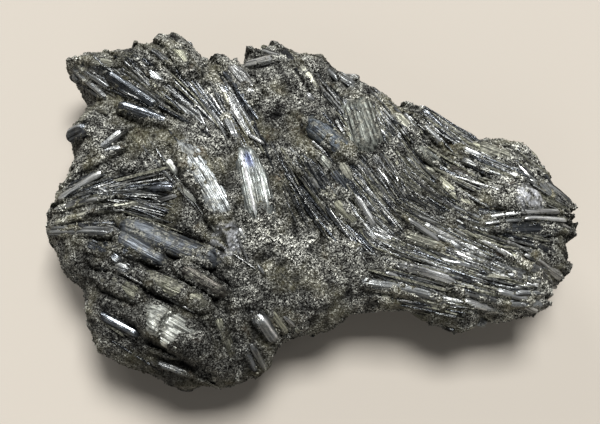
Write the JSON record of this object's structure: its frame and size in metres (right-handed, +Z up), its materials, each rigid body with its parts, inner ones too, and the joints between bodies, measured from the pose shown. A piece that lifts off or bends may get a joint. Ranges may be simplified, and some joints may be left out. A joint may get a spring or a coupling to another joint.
{
  "type": "cylindrite mineral specimen",
  "caption": "Loose mineral specimen: dark lead-grey metallic cylinders lying in fans on a fine-grained lump, flat below so that it rests on a shelf.",
  "frame": {"origin": "under the middle of the specimen's box, on the surface that it rests on", "axes": "+X along its length towards the narrow end, +Y across it away from the viewer, +Z up through its thickness"},
  "size_m": [0.0334, 0.0227, 0.0113],
  "materials": {
    "sulphide": "dark lead-grey metallic, bright silver along the cylinders, dull and sparkling in the fine-grained mass"
  },
  "bodies": {
    "root": {"cylindrite_specimen": "sulphide"}
  },
  "joints": []
}
